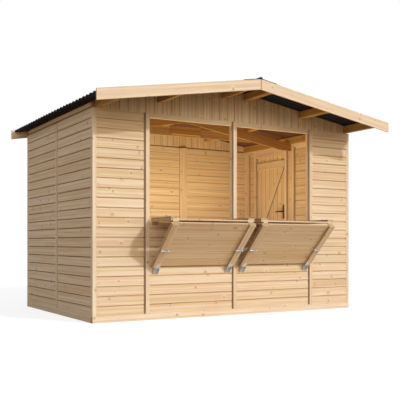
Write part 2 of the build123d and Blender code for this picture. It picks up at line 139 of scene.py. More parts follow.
class StallNails(bpy.types.PropertyGroup):
    """Sizes and places of nail and screw heads."""

    radius: length("Radius", "Radius of a nail head", 0.003)
    height: length("Height", "How far a nail head stands out", 0.0008)
    top_share: factor("Top share", "Top of a nail head as a share of its foot", 0.8)
    sides: number("Sides", "Faces round a nail head", 8)
    from_end: length("From the end", "Distance of a nail from the end of its board", 0.018)
    from_foot: length("From the foot", "Distance of a nail from the foot of its board", 0.03)
    spacing: length("Spacing", "Distance between nails along a cover strip", 0.29)
    screw_radius: length("Screw radius", "Radius of the screw heads in the hinges", 0.0036)
    screw_height: length("Screw height", "Height of the screw heads in the hinges", 0.0008)
    screw_top_share: factor("Screw top share", "Top of a screw head as a share of its foot", 0.7)
    screw_sides: number("Screw sides", "Faces round a screw head", 10)
    screw_spread: factor("Screw spread", "Distance between screws as a share of the hinge leaf", 0.36)
    rail_spacing: length("Rail spacing", "Distance between nails along a base rail", 0.49)


class StallRoofing(bpy.types.PropertyGroup):
    """Sizes of the waved roof sheets."""

    waves: number("Waves", "Waves along the roof", 30)
    sheets: number("Sheets", "Sheets along each slope", 3)
    wave_steps: number("Wave steps", "Faces across each wave", 12)
    thickness: length("Thickness", "Thickness of a sheet", 0.0024)
    cap_radius: length("Nail cap radius", "Radius of the caps on the roofing nails", 0.013)
    cap_height: length("Nail cap height", "Height of the caps on the roofing nails", 0.006)
    cap_top_share: factor("Nail cap top share", "Top of a nail cap as a share of its foot", 0.6)
    cap_sides: number("Nail cap sides", "Faces round a nail cap", 10)
    nail_waves: number("Nail waves", "Waves from nail to nail", 3)


class StallColours(bpy.types.PropertyGroup):
    """Colours of the finishes."""

    board_early: colour("Board early wood", "Pale wood of the wall boards", "#F2D9BA")
    board_late: colour("Board late wood", "Dark rings of the wall boards", "#E3C298")
    timber_early: colour("Timber early wood", "Pale wood of the planed timber", "#F4DDC2")
    timber_late: colour("Timber late wood", "Dark rings of the planed timber", "#E5C6A2")
    # The purlins and the truss take a darker, more orange copy of the spruce: painted shade under the roof
    roof_early: colour("Roof timber early wood", "Pale wood of the purlins and the truss", "#C69A64")
    roof_late: colour("Roof timber late wood", "Dark rings of the purlins and the truss", "#B08246")
    joint: colour("Joint", "Shaded wood deep in the joints", "#6E4A28")
    knot: colour("Knot", "Knots in the spruce", "#A3744A")
    end_grain: colour("End grain", "Sawn ends of the spruce", "#B98F5F")
    bitumen: colour("Bitumen", "Roof sheets", "#140D0E")
    bitumen_worn: colour("Worn bitumen", "Pale fibres in the roof sheets", "#221716")
    # Brown of the underside, shown only over the room: partly the fibre's own colour, partly painted light
    bitumen_lit_underside: colour("Bitumen underside", "Dry fibre under the roof sheets", "#74503A")
    zinc: colour("Zinc", "Bolts and brackets", "#D6D0C9")
    zinc_dull: colour("Dull zinc", "Dull crystals in the zinc", "#B5AFA9")
    hinge: colour("Hinge", "Yellow passivated hinges", "#DCC39C")
    hinge_dull: colour("Dull hinge", "Dull crystals in the yellow passivated zinc", "#BDA37B")
    iron: colour("Iron", "Painted door handles", "#5F4126")
    nail: colour("Nail", "Nail heads", "#8A7A68")
    ground: colour("Ground", "Light that the ground throws up", "#A98F6C")
    floor: colour("Floor", "Ground under the stall, as the camera shows it", "#B4B4B4")


class StallStage(bpy.types.PropertyGroup):
    """Light, floor and camera."""

    sun_strength: level("Sun strength", "Strength of the low sun", 1.5)
    sun: colour("Sun", "Colour of the low sun", "#EAF1FF")
    sun_way: facing("Sun way", "Direction in which the sun shines", (-0.40, 0.78, -0.48))
    sun_width: angle("Sun width", "Apparent width of the low sun", math.radians(2.5))
    fill_strength: level("Fill strength", "Strength of the light all round", 0.22)
    fill: colour("Fill", "Colour of the light all round", "#F4F4F4")
    front_strength: level("Front strength", "Strength of the soft light from the front", 2.5)
    front: colour("Front", "Colour of the soft light from the front", "#FFF7DC")
    front_way: facing("Front way", "Direction of the soft light from the front", (0.35, -0.93, 0))
    side_strength: level("Side strength", "Strength of the soft light from the left", 0.3)
    side: colour("Side", "Colour of the soft light from the left", "#C6DCFF")
    side_way: facing("Side way", "Direction of the soft light from the left", (-0.75, -0.2, 0.63))
    back_strength: level("Back strength", "Strength of the soft light from behind", 1.0)
    back: colour("Back", "Colour of the soft light from behind", "#FFFFFF")
    back_way: facing("Back way", "Direction of the soft light from behind", (0.6, 0.8, 0))
    inside_power: power("Inside power", "Light that the sunlit ground throws in", 25)
    inside: colour("Inside", "Colour of the light inside", "#FFF9DC")
    inside_place: point("Inside place", "Middle of the lamp for the light inside", (-0.3, -0.45, 0.12))
    inside_way: facing("Inside way", "Direction in which the light inside shines", (0.1, 0.8, 0.6))
    inside_width: length("Inside width", "Width of the lamp for the light inside", 2.2)
    inside_depth: length("Inside depth", "Depth of the lamp for the light inside", 0.6)
    roof_power: power("Roof power", "Light that the walls throw up to the roof", 9)
    roof: colour("Roof", "Colour of the light under the roof", "#FFE79E")
    roof_place: point("Roof place", "Middle of the lamp for the light under the roof", (0.2, 0.2, 1.0))
    roof_width: length("Roof width", "Width of the lamp for the light under the roof", 1.6)
    roof_depth: length("Roof depth", "Depth of the lamp for the light under the roof", 1.2)
    floor_half: length("Floor half", "Half of the floor's width", 60)
    floor_lift: level("Floor lift", "Paleness added to the floor in view", 0.74)
    sensor: level("Sensor", "Width of the camera's sensor in millimetres", 36)
    lens: level("Lens", "Focal length of the camera in millimetres", 62.9)
    camera_shift: level("Camera shift", "Rise of the picture that keeps upright lines upright", 0.107)
    camera_place: point("Camera place", "Where the camera stands", (-3.876, -6.724, 0.726))
    camera_way: facing("Camera way", "Direction in which the camera looks", (0.5074, 0.8617, 0))


def settings():
    """The settings of the stall in this scene."""
    return bpy.context.scene.stall


# Shader nodes

def add(tree, kind, inputs=None, **options):
    """Add a shader node with its options, and set or link its inputs."""
    made = tree.nodes.new(kind)
    for name, value in options.items():
        setattr(made, name, value)
    for socket, value in (inputs or {}).items():
        if isinstance(value, bpy.types.NodeSocket):
            tree.links.new(value, made.inputs[socket])
        else:
            made.inputs[socket].default_value = value
    return made


def blank(name):
    """A material with an empty node tree."""
    material = bpy.data.materials.new(name)
    material.use_nodes = True
    material.node_tree.nodes.clear()
    return material, material.node_tree


def opaque(value):
    """A colour with full alpha, as sockets take it."""
    return (*value, 1)


def spruce(name, early, late):
    """Sawn or planed spruce: pale early wood, honey-coloured rings, and small brown knots.

    The grain attribute runs along each board's length, across its width and through its thickness,
    from the heart of its log, so that rings show as arcs on ends and as streaks on faces. The joint
    attribute marks faces deep in joints and on hidden sides, which it darkens as painted shade.
    """
    colours = settings().colours
    # Rings and fibres are drawn several times as coarse as they are, so that they show
    ring, ring_drift, ring_share = 0.014, 0.02, 0.4
    streak, streak_length = 0.018, 0.6
    patch, patch_length = 0.05, 0.3
    late_from, late_to = 0.45, 0.95
    smoothest, roughest, relief_height = 0.55, 0.8, 0.0006
    # A wave texture at a scale of one repeats after this length
    wave_length = math.pi / 10
    # Boards differ in value and saturation, and patches in hue, where one half is no change
    darkest, palest, fullest, dullest = 0.95, 1.03, 1.06, 0.96
    blush_from, blush_to, reddest, yellowest = 0.3, 0.7, 0.49, 0.508
    # The luck of a cell says whether it has a knot, and how large
    knot_spacing, knot_row, knot_radius, knot_strength = 0.28, 0.08, 0.018, 0.5
    luck_from, luck_to, heart_share = 0.57, 0.85, 0.35
    bend_reach, bend_share = 2.5, 0.35
    end_from, end_to, end_strength = 0.75, 0.95, 0.7

    material, tree = blank(name)
    grain = add(tree, "ShaderNodeAttribute", attribute_name="grain").outputs["Vector"]
    tone = add(tree, "ShaderNodeAttribute", attribute_name="tone").outputs["Fac"]

    # Knots lie one to a cell along the board, in less than half of the cells
    cell = (knot_spacing, knot_row, 0)
    cells = add(
        tree, "ShaderNodeVectorMath", {0: grain, 1: (1 / knot_spacing, 1 / knot_row, 0)},
        operation="MULTIPLY",
    ).outputs[0]
    knots = add(tree, "ShaderNodeTexVoronoi", {"Vector": cells, "Scale": 1}, voronoi_dimensions="2D")
    away = add(tree, "ShaderNodeVectorMath", {0: cells, 1: knots.outputs["Position"]}, operation="SUBTRACT")
    away = add(tree, "ShaderNodeVectorMath", {0: away.outputs[0], 1: cell}, operation="MULTIPLY")
    distance = add(tree, "ShaderNodeVectorMath", {0: away.outputs[0]}, operation="LENGTH").outputs["Value"]
    luck = add(tree, "ShaderNodeSeparateColor", {"Color": knots.outputs["Color"]}).outputs[0]
    radius = add(
        tree, "ShaderNodeMapRange", {0: luck, 1: luck_from, 2: luck_to, 3: 0, 4: knot_radius}
    ).outputs[0]
    heart = add(tree, "ShaderNodeMath", {0: radius, 1: heart_share}, operation="MULTIPLY").outputs[0]
    mark = add(tree, "ShaderNodeMapRange", {0: distance, 1: heart, 2: radius, 3: 1, 4: 0}).outputs[0]

    # Rings bend round the knots
    reach = add(tree, "ShaderNodeMath", {0: radius, 1: bend_reach}, operation="MULTIPLY").outputs[0]
    bend = add(tree, "ShaderNodeMapRange", {0: distance, 1: 0, 2: reach, 3: 1, 4: 0}).outputs[0]
    bend = add(tree, "ShaderNodeMath", {0: bend, 1: radius}, operation="MULTIPLY").outputs[0]
    bend = add(tree, "ShaderNodeMath", {0: bend, 1: bend_share}, operation="MULTIPLY").outputs[0]
    shift = add(tree, "ShaderNodeCombineXYZ", {"Y": bend, "Z": bend}).outputs[0]
    log = add(
        tree, "ShaderNodeVectorMath", {0: grain, 1: (ring_drift, 1, 1), 2: shift}, operation="MULTIPLY_ADD"
    ).outputs[0]
    rings = add(
        tree, "ShaderNodeTexWave",
        {"Vector": log, "Scale": wave_length / ring, "Distortion": 2.5, "Detail": 2, "Detail Scale": 0.6},
        wave_type="RINGS", rings_direction="X",
    ).outputs["Fac"]
    fibre = add(
        tree, "ShaderNodeVectorMath", {0: grain, 1: (1 / streak_length, 1 / streak, 1 / streak)},
        operation="MULTIPLY",
    ).outputs[0]
    streaks = add(tree, "ShaderNodeTexNoise", {"Vector": fibre, "Scale": 1, "Detail": 3}).outputs[0]

    # Broad patches are a little redder or yellower
    blush = add(
        tree, "ShaderNodeVectorMath", {0: grain, 1: (1 / patch_length, 1 / patch, 1 / patch)},
        operation="MULTIPLY",
    ).outputs[0]
    blush = add(tree, "ShaderNodeTexNoise", {"Vector": blush, "Scale": 1, "Detail": 1}).outputs[0]

    share = add(
        tree, "ShaderNodeMath", {0: rings, 1: ring_share, 2: streaks}, operation="MULTIPLY_ADD"
    ).outputs[0]
    share = add(tree, "ShaderNodeMapRange", {0: share, 1: late_from, 2: late_to, 3: 0, 4: 1}).outputs[0]
    wood = add(
        tree, "ShaderNodeMix", {0: share, 6: opaque(early), 7: opaque(late)}, data_type="RGBA"
    ).outputs[2]
    value = add(tree, "ShaderNodeMapRange", {0: tone, 3: darkest, 4: palest}).outputs[0]
    saturation = add(tree, "ShaderNodeMapRange", {0: tone, 3: fullest, 4: dullest}).outputs[0]
    hue = add(
        tree, "ShaderNodeMapRange", {0: blush, 1: blush_from, 2: blush_to, 3: reddest, 4: yellowest}
    ).outputs[0]
    wood = add(
        tree, "ShaderNodeHueSaturation",
        {"Hue": hue, "Saturation": saturation, "Value": value, "Color": wood},
    ).outputs[0]

    # Sawn ends and knots are browner, and joints and hidden sides darker with painted shade
    lie = add(tree, "ShaderNodeAttribute", attribute_name="lie").outputs["Vector"]
    normal = add(tree, "ShaderNodeTexCoord").outputs["Normal"]
    ends = add(tree, "ShaderNodeVectorMath", {0: lie, 1: normal}, operation="DOT_PRODUCT").outputs["Value"]
    ends = add(tree, "ShaderNodeMath", {0: ends}, operation="ABSOLUTE").outputs[0]
    ends = add(
        tree, "ShaderNodeMapRange", {0: ends, 1: end_from, 2: end_to, 3: 0, 4: end_strength}
    ).outputs[0]
    mark = add(tree, "ShaderNodeMath", {0: mark, 1: knot_strength}, operation="MULTIPLY").outputs[0]
    deep = add(tree, "ShaderNodeAttribute", attribute_name="joint").outputs["Fac"]
    for depth, stain in ((ends, colours.end_grain), (mark, colours.knot), (deep, colours.joint)):
        wood = add(tree, "ShaderNodeMix", {0: depth, 6: wood, 7: opaque(stain)}, data_type="RGBA").outputs[2]
    rough = add(tree, "ShaderNodeMapRange", {0: streaks, 3: smoothest, 4: roughest}).outputs[0]
    relief = add(
        tree, "ShaderNodeBump", {"Strength": 0.25, "Distance": relief_height, "Height": share}
    ).outputs[0]
    shader = add(
        tree, "ShaderNodeBsdfPrincipled",
        {"Base Color": wood, "Roughness": rough, "Normal": relief, "Specular IOR Level": 0.3},
    )
    add(tree, "ShaderNodeOutputMaterial", {"Surface": shader.outputs[0]})
    return material


def bitumen_fibre(name, painted, worn, lit_underside):
    """Organic fibre sheet soaked in bitumen: dull brown-black, with faint pale fibres and blotches.

    The underside is brown only over the room and stays black past the walls: partly the fibre's own brown,
    and partly painted light inside and painted shade under the eaves.
    """
    # Fibres and blotches are drawn coarser than they are, so that they show
    fibre, blotch, relief_height = 0.02, 0.15, 0.001
    worn_from, worn_to, smoothest, roughest = 0.15, 0.4, 0.6, 0.85
    # Upward part of the surface's direction, on the underside and past its edge
    under, past_edge = -0.5, -0.3
    room = {
        "X": (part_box("left_wall_boards")[0].x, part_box("right_wall_boards")[1].x),
        "Y": (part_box("front_wall_boards")[0].y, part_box("back_wall_boards")[1].y),
    }
    material, tree = blank(name)
    place = add(tree, "ShaderNodeTexCoord").outputs["Object"]
    fine = add(tree, "ShaderNodeTexNoise", {"Vector": place, "Scale": 1 / fibre, "Detail": 4}).outputs[0]
    broad = add(tree, "ShaderNodeTexNoise", {"Vector": place, "Scale": 1 / blotch, "Detail": 2}).outputs[0]
    share = add(tree, "ShaderNodeMath", {0: fine, 1: broad}, operation="MULTIPLY").outputs[0]
    share = add(tree, "ShaderNodeMapRange", {0: share, 1: worn_from, 2: worn_to}).outputs[0]
    tint = add(
        tree, "ShaderNodeMix", {0: share, 6: opaque(painted), 7: opaque(worn)}, data_type="RGBA"
    ).outputs[2]
    normal = add(tree, "ShaderNodeTexCoord").outputs["Normal"]
    rise = add(tree, "ShaderNodeSeparateXYZ", {0: normal}).outputs["Z"]
    lit_underside_share = add(tree, "ShaderNodeMapRange", {0: rise, 1: under, 2: past_edge, 3: 1, 4: 0}).outputs[0]
    parts = add(tree, "ShaderNodeSeparateXYZ", {0: place}).outputs
    # The brown underside is kept to the room: painted light there, and painted shade under the eaves
    for axis, (low, high) in room.items():
        indoors = add(
            tree, "ShaderNodeMath", {0: parts[axis], 1: (low + high) / 2, 2: (high - low) / 2},
            operation="COMPARE",
        ).outputs[0]
        lit_underside_share = add(tree, "ShaderNodeMath", {0: lit_underside_share, 1: indoors}, operation="MULTIPLY").outputs[0]
    tint = add(tree, "ShaderNodeMix", {0: lit_underside_share, 6: tint, 7: opaque(lit_underside)}, data_type="RGBA").outputs[2]
    relief = add(
        tree, "ShaderNodeBump", {"Strength": 0.4, "Distance": relief_height, "Height": fine}
    ).outputs[0]
    rough = add(tree, "ShaderNodeMapRange", {0: fine, 3: smoothest, 4: roughest}).outputs[0]
    shader = add(
        tree, "ShaderNodeBsdfPrincipled",
        {"Base Color": tint, "Roughness": rough, "Normal": relief, "Specular IOR Level": 0.15},
    )
    add(tree, "ShaderNodeOutputMaterial", {"Surface": shader.outputs[0]})
    return material


def zinc_plate(name, bright, dull):
    """Pressed steel with bright or yellow passivated zinc: a soft shine in faint patches."""
    # The zinc's crystals are drawn coarser than they are, so that they show
    patch, smoothest, roughest = 0.012, 0.45, 0.6
    material, tree = blank(name)
    place = add(tree, "ShaderNodeTexCoord").outputs["Object"]
    patches = add(tree, "ShaderNodeTexNoise", {"Vector": place, "Scale": 1 / patch, "Detail": 3}).outputs[0]
    tint = add(
        tree, "ShaderNodeMix", {0: patches, 6: opaque(bright), 7: opaque(dull)}, data_type="RGBA"
    ).outputs[2]
    rough = add(tree, "ShaderNodeMapRange", {0: patches, 3: smoothest, 4: roughest}).outputs[0]
    shader = add(
        tree, "ShaderNodeBsdfPrincipled", {"Base Color": tint, "Roughness": rough, "Metallic": 0.9}
    )
    add(tree, "ShaderNodeOutputMaterial", {"Surface": shader.outputs[0]})
    return material


def painted_iron(name, tone):
    """Steel under dark paint, or dulled by weather: a low sheen with a fine unevenness."""
    # The specks are drawn coarser than they are, so that they show
    speck, relief_height, smoothest, roughest = 0.004, 0.0003, 0.35, 0.55
    material, tree = blank(name)
    place = add(tree, "ShaderNodeTexCoord").outputs["Object"]
    specks = add(tree, "ShaderNodeTexNoise", {"Vector": place, "Scale": 1 / speck, "Detail": 2}).outputs[0]
    rough = add(tree, "ShaderNodeMapRange", {0: specks, 3: smoothest, 4: roughest}).outputs[0]
    relief = add(
        tree, "ShaderNodeBump", {"Strength": 0.2, "Distance": relief_height, "Height": specks}
    ).outputs[0]
    shader = add(
        tree, "ShaderNodeBsdfPrincipled", {"Base Color": opaque(tone), "Roughness": rough, "Normal": relief}
    )
    add(tree, "ShaderNodeOutputMaterial", {"Surface": shader.outputs[0]})
    return material


def finish(name):
    """A finish by name, made the first time that it is asked for."""
    if name in bpy.data.materials:
        return bpy.data.materials[name]
    colours = settings().colours
    makers = {
        "sawn_spruce": (spruce, colours.board_early, colours.board_late),
        "planed_spruce": (spruce, colours.timber_early, colours.timber_late),
        "shaded_spruce": (spruce, colours.roof_early, colours.roof_late),
        "bitumen_fibre": (bitumen_fibre, colours.bitumen, colours.bitumen_worn, colours.bitumen_lit_underside),
        "zinc_plate": (zinc_plate, colours.zinc, colours.zinc_dull),
        "yellow_zinc": (zinc_plate, colours.hinge, colours.hinge_dull),
        "painted_iron": (painted_iron, colours.iron),
        "nail_steel": (painted_iron, colours.nail),
    }
    make, *tints = makers[name]
    return make(name, *tints)


# Meshes

def solids_of(*nodes):
    """The solids of CAD nodes in one mesh, with their triangles merged into flat faces."""
    bm = bmesh.new()
    for node in nodes:
        bm.from_mesh(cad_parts[node].data)
    bmesh.ops.remove_doubles(bm, verts=bm.verts, dist=MERGE)
    bmesh.ops.dissolve_limit(bm, angle_limit=FLAT_ANGLE, verts=bm.verts, edges=bm.edges)
    return bm


def islands(bm):
    """The vertices of each separate solid of a mesh."""
    seen, found = set(), []
    for start in bm.verts:
        if start in seen:
            continue
        seen.add(start)
        island = [start]
        for vert in island:
            for edge in vert.link_edges:
                other = edge.other_vert(vert)
                if other not in seen:
                    seen.add(other)
                    island.append(other)
        found.append(island)
    return found


def direction(edge):
    """Unit vector along an edge."""
    return (edge.verts[1].co - edge.verts[0].co).normalized()


def span(verts, axis):
    """Lowest and highest place of some vertices along an axis."""
    places = [vert.co.dot(axis) for vert in verts]
    return min(places), max(places)


def corners(verts):
    """Low and high corner of some vertices."""
    spans = [span(verts, axis) for axis in Matrix.Identity(3)]
    return Vector([low for low, high in spans]), Vector([high for low, high in spans])


def boxes_of(node):
    """Low and high corner of each solid of a CAD node."""
    bm = solids_of(node)
    boxes = [corners(verts) for verts in islands(bm)]
    bm.free()
    return boxes


def spaced(low, high, spacing):
    """Places at even steps between two ends."""
    count = round((high - low) / spacing)
    return [low + (high - low) * (step + 0.5) / count for step in range(count)]


def steady(axis):
    """An axis turned so that its largest part is positive."""
    return axis if max(axis, key=abs) > 0 else -axis


def piece_axes(verts):
    """Unit vectors along a piece, across it and through it, from its longest edges."""
    edges = list(dict.fromkeys(edge for vert in verts for edge in vert.link_edges))
    # An extruded mesh lists its edges in any order, so edges of one length go by their places
    edges.sort(key=lambda edge: (-round(edge.calc_length(), 5), *(edge.verts[0].co + edge.verts[1].co)))
    along = steady(direction(edges[0]))
    across = next(direction(edge) for edge in edges if abs(direction(edge).dot(along)) < CROSSING)
    across = steady(across)
    across = (across - along * across.dot(along)).normalized()
    return along, across, along.cross(across)


def lay_grain(bm, seed):
    """Give each solid a place of its own in a log, and a tone of its own."""
    draw = random.Random(seed)
    grain = bm.verts.layers.float_vector.new("grain")
    lie = bm.verts.layers.float_vector.new("lie")
    tone = bm.verts.layers.float.new("tone")
    for verts in islands(bm):
        axes = piece_axes(verts)
        middle = [sum(span(verts, axis)) / 2 for axis in axes]
        start = [draw.uniform(*limits) for limits in LOG_PLACES]
        shade = draw.random()
        for vert in verts:
            vert[grain] = [vert.co.dot(axis) - m + s for axis, m, s in zip(axes, middle, start)]
            vert[lie] = axes[0]
            vert[tone] = shade


def paint_shade(bm, faces, depth):
    """Paint shade on faces in joints and on hidden sides, by how dark it is there."""
    bm.faces.index_update()
    marked = [face.index for face in faces]
    # A new layer makes earlier references to faces invalid, so the faces are found again
    joint = bm.faces.layers.float.get("joint") or bm.faces.layers.float.new("joint")
    bm.faces.ensure_lookup_table()
    for index in marked:
        bm.faces[index][joint] = depth


def chamfer(bm, edges, width, segments=1):
    """Bevel edges, and give the faces that this makes."""
    made = bmesh.ops.bevel(
        bm, geom=edges, offset=width, affect="EDGES", segments=segments, profile=0.5, material=-1,
        clamp_overlap=True,
    )
    return made["faces"]


def ease(bm, width):
    """Round all edges of planed timber a little."""
    edges = [edge for edge in bm.edges if edge.is_manifold and edge.calc_face_angle() > EASED_ANGLE]
    chamfer(bm, edges, width, segments=2)


def thicken(bm, faces, offset):
    """Extrude faces by an offset into a closed solid."""
    made = bmesh.ops.extrude_face_region(bm, geom=faces)
    moved = [item for item in made["geom"] if isinstance(item, bmesh.types.BMVert)]
    bmesh.ops.translate(bm, verts=moved, vec=offset)


def cut_planks(bm, along, across, count, groove):
    """Cut solids into planks that lie side by side, and give the chamfers along their edges."""
    low, high = span(bm.verts, across)
    cuts = []
    for step in range(1, count):
        place = across * (low + (high - low) * step / count)
        every = bm.verts[:] + bm.edges[:] + bm.faces[:]
        made = bmesh.ops.bisect_plane(bm, geom=every, dist=MERGE, plane_co=place, plane_no=across)
        cuts += [item for item in made["geom_cut"] if isinstance(item, bmesh.types.BMEdge)]
    bmesh.ops.split_edges(bm, edges=cuts)
    bmesh.ops.holes_fill(bm, edges=[edge for edge in bm.edges if edge.is_boundary], sides=0)
    bmesh.ops.recalc_face_normals(bm, faces=bm.faces)
    edges = [
        edge for edge in bm.edges
        if edge.is_manifold and edge.calc_face_angle() > CORNER_ANGLE
        and abs(direction(edge).dot(along)) > ALONG
    ]
    return chamfer(bm, edges, groove)


def knob(bm, place, normal, radius, height, top_share, segments):
    """A low round head on a surface."""
    turn = normal.to_track_quat("Z", "Y").to_matrix().to_4x4()
    bmesh.ops.create_cone(
        bm, cap_ends=True, segments=segments, radius1=radius, radius2=radius * top_share, depth=height,
        matrix=Matrix.Translation(place + normal * height / 2) @ turn,
    )


def nail_heads(name, places, body="hut"):
    """Nail heads in one mesh, from pairs of a place and a direction."""
    nails = settings().nails
    bm = bmesh.new()
    for place, normal in places:
        knob(bm, place, normal, nails.radius, nails.height, nails.top_share, nails.sides)
    return show(name, bm, "nail_steel", body, "zinc_steel")


def show(name, bm, material, body, slot, *nodes, smooth_angle=None):
    """Make a piece from a mesh, in place of CAD nodes where they are named."""
    mesh = bpy.data.meshes.new(name)
    bm.to_mesh(mesh)
    bm.free()
    mesh.polygons.foreach_set("use_smooth", [smooth_angle is not None] * len(mesh.polygons))
    if smooth_angle is not None:
        mesh.set_sharp_from_angle(angle=smooth_angle)
    mesh.materials.append(finish(material))
    made = bpy.data.objects.new(name, mesh)
    bpy.context.scene.collection.objects.link(made)
    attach(made, body)
    if nodes:
        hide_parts(*nodes)
    return made


def timber(node, body="hut", material="planed_spruce", dark_sides=(), depth=0):
    """Timber with eased edges in the shape of a CAD node, with painted shade on the sides that are named as
    dark.
    """
    bm = solids_of(node)
    ease(bm, settings().boards.arris)
    lay_grain(bm, node)
    sides = [Vector(side) for side in dark_sides]
    dark = [face for face in bm.faces if any(face.normal.dot(side) > SAME_WAY for side in sides)]
    paint_shade(bm, dark, depth)
    return show("planed_" + node, bm, material, body, "spruce_frame", node)


def planked(node, along, across, count, body, depth):
    """Planks side by side in the shape of a CAD node, with painted shade in the grooves between them."""
    bm = solids_of(node)
    paint_shade(bm, cut_planks(bm, along, across, count, settings().boards.groove), depth)
    lay_grain(bm, node)
    return show("planked_" + node, bm, "sawn_spruce", body, "spruce_boards", node)


# Wall boards

def board_profile(low, high, depth, is_first, is_last):
    """Outline of a lapped board as pairs of depth from the outer face, and height."""
    boards = settings().boards
    face_top = high if is_last else high - boards.lap_gap
    outline = [(boards.foot_round, low), (0, low + boards.foot_round), (boards.lean, face_top)]
    if is_last:
        outline.append((depth, high))
    else:
        tongue = high + boards.lap_cover
        outline += [(boards.lap_step, face_top), (boards.lap_step, tongue), (depth, tongue)]
    if is_first:
        outline.append((depth, low))
    else:
        joint = low + boards.lap_cover + boards.inner_joint
        cheek = boards.lap_step - boards.lap_fit
        outline += [(depth, joint), (cheek, joint), (cheek, low)]
    return outline


def wall_place(side, low, high):
    """A function from the run along a wall, the depth from its outer face and the height, to a point."""
    if side == "front":
        return lambda run, depth, z: Vector((run, low.y + depth, z))
    if side == "back":
        return lambda run, depth, z: Vector((run, high.y - depth, z))
    if side == "left":
        return lambda run, depth, z: Vector((low.x + depth, run, z))
    return lambda run, depth, z: Vector((high.x - depth, run, z))


def run_axis(side):
    """Index of the axis along which a wall runs."""
    return 0 if side in ("front", "back") else 1


def outward_from(place):
    """Unit vector out of a wall, from its function that gives points."""
    return (place(0, -1, 0) - place(0, 0, 0)).normalized()


def lapped_wall(node, side):
    """Lapped boards for each panel of a wall, and the nails at their ends."""
    boards, nails, shade = settings().boards, settings().nails, settings().shade
    bm, places = bmesh.new(), []
    run = run_axis(side)
    for low, high in boxes_of(node):
        depth = (high - low)[1 - run]
        place = wall_place(side, low, high)
        outward = outward_from(place)
        count = max(1, math.ceil((high.z - low.z) / boards.course - LEAST_COURSE))
        for course in range(count):
            is_last = course == count - 1
            foot = low.z + course * boards.course
            top = high.z if is_last else foot + boards.course
            outline = board_profile(foot, top, depth, course == 0, is_last)
            face = bm.faces.new([bm.verts.new(place(low[run], d, z)) for d, z in outline])
            thicken(bm, [face], place(high[run], 0, 0) - place(low[run], 0, 0))
            height = foot + nails.from_foot
            if height < top:
                sunk = boards.lean * nails.from_foot / boards.course
                for end in (low[run] + nails.from_end, high[run] - nails.from_end):
                    places.append((place(end, sunk, height), outward))
    bmesh.ops.recalc_face_normals(bm, faces=bm.faces)
    # The faces at the back of the laps lie a lap's step behind the surface, and get painted shade
    depths = [span(face.verts, -outward) for face in bm.faces]
    surface = span(bm.verts, -outward)[0]
    nearest, furthest = boards.lap_step - 2 * boards.lap_fit, boards.lap_step + boards.lap_fit
    paint_shade(bm, [
        face for face, (near, far) in zip(bm.faces, depths)
        if near - surface > nearest and far - surface < furthest
    ], shade.front_laps if side == "front" else shade.other_laps)
    lay_grain(bm, node)
    show("lapped_" + node, bm, "sawn_spruce", "hut", "spruce_boards", node)
    return places


WALLS = {
    "front_wall_boards": "front",
    "back_wall_boards": "back",
    "left_wall_boards": "left",
    "right_wall_boards": "right",
    "door_side_boards": "right",
    "over_door_boards": "right",
}


class STALL_OT_wall_boards(bpy.types.Operator):
    """Clad the walls with lapped boards"""

    bl_idname = "stall.wall_boards"
    bl_label = "Wall boards"

    def execute(self, context):
        places = []
        for node, side in WALLS.items():
            places += lapped_wall(node, side)
        nail_heads("board_nails", places)
        return {"FINISHED"}


class STALL_OT_cover_strips(bpy.types.Operator):
    """Cover the panel joints and corners with planed strips"""

    bl_idname = "stall.cover_strips"
    bl_label = "Cover strips"

    def execute(self, context):
        spacing = settings().nails.spacing
        strips = {"front_cover_strips": "front", "back_cover_strips": "back", "side_cover_strips": None}
        places = []
        for node, side in strips.items():
            for low, high in boxes_of(node):
                face = side or ("left" if low.x < 0 else "right")
                place = wall_place(face, low, high)
                outward, run = outward_from(place), run_axis(face)
                for z in spaced(low.z, high.z, spacing):
                    places.append((place((low[run] + high[run]) / 2, 0, z), outward))
            timber(node)
        nail_heads("strip_nails", places)
        return {"FINISHED"}


class STALL_OT_frame_timber(bpy.types.Operator):
    """Plane the base rails, posts, studs, sills and headers"""

    bl_idname = "stall.frame_timber"
    bl_label = "Frame timber"

    def execute(self, context):
        nodes = (
            "long_base_rails", "short_base_rails", "front_studs", "opening_headers", "opening_sills",
            "side_top_plates", "door_lintel",
        )
        for node in nodes:
            timber(node)
        # The sides that face the boards get painted shade, and so do those of the right posts that face the
        # front
        shade = settings().shade
        posts = (
            ("front_posts", [(0, -1, 0)], shade.posts),
            ("back_posts", [(0, 1, 0)], shade.posts),
            ("left_posts", [(-1, 0, 0)], shade.posts),
            ("right_posts", [(1, 0, 0), (0, -1, 0)], shade.right_posts),
        )
        for node, sides, depth in posts:
            timber(node, dark_sides=sides, depth=depth)
        self.rail_nails()
        return {"FINISHED"}

    def rail_nails(self):
        """Nails along the outer faces of the base rails."""
        nails, places = settings().nails, []
        for node, run in (("long_base_rails", 0), ("short_base_rails", 1)):
            boxes = boxes_of(node)
            middle = sum((low + high)[1 - run] / 2 for low, high in boxes) / len(boxes)
            for low, high in boxes:
                is_low = low[1 - run] < middle
                outward = Vector((0, 0, 0))
                outward[1 - run] = -1 if is_low else 1
                for reach in spaced(low[run], high[run], nails.rail_spacing):
                    place = (low + high) / 2
                    place[1 - run] = (low if is_low else high)[1 - run]
                    place[run] = reach
                    places.append((place, outward))
        nail_heads("rail_nails", places)


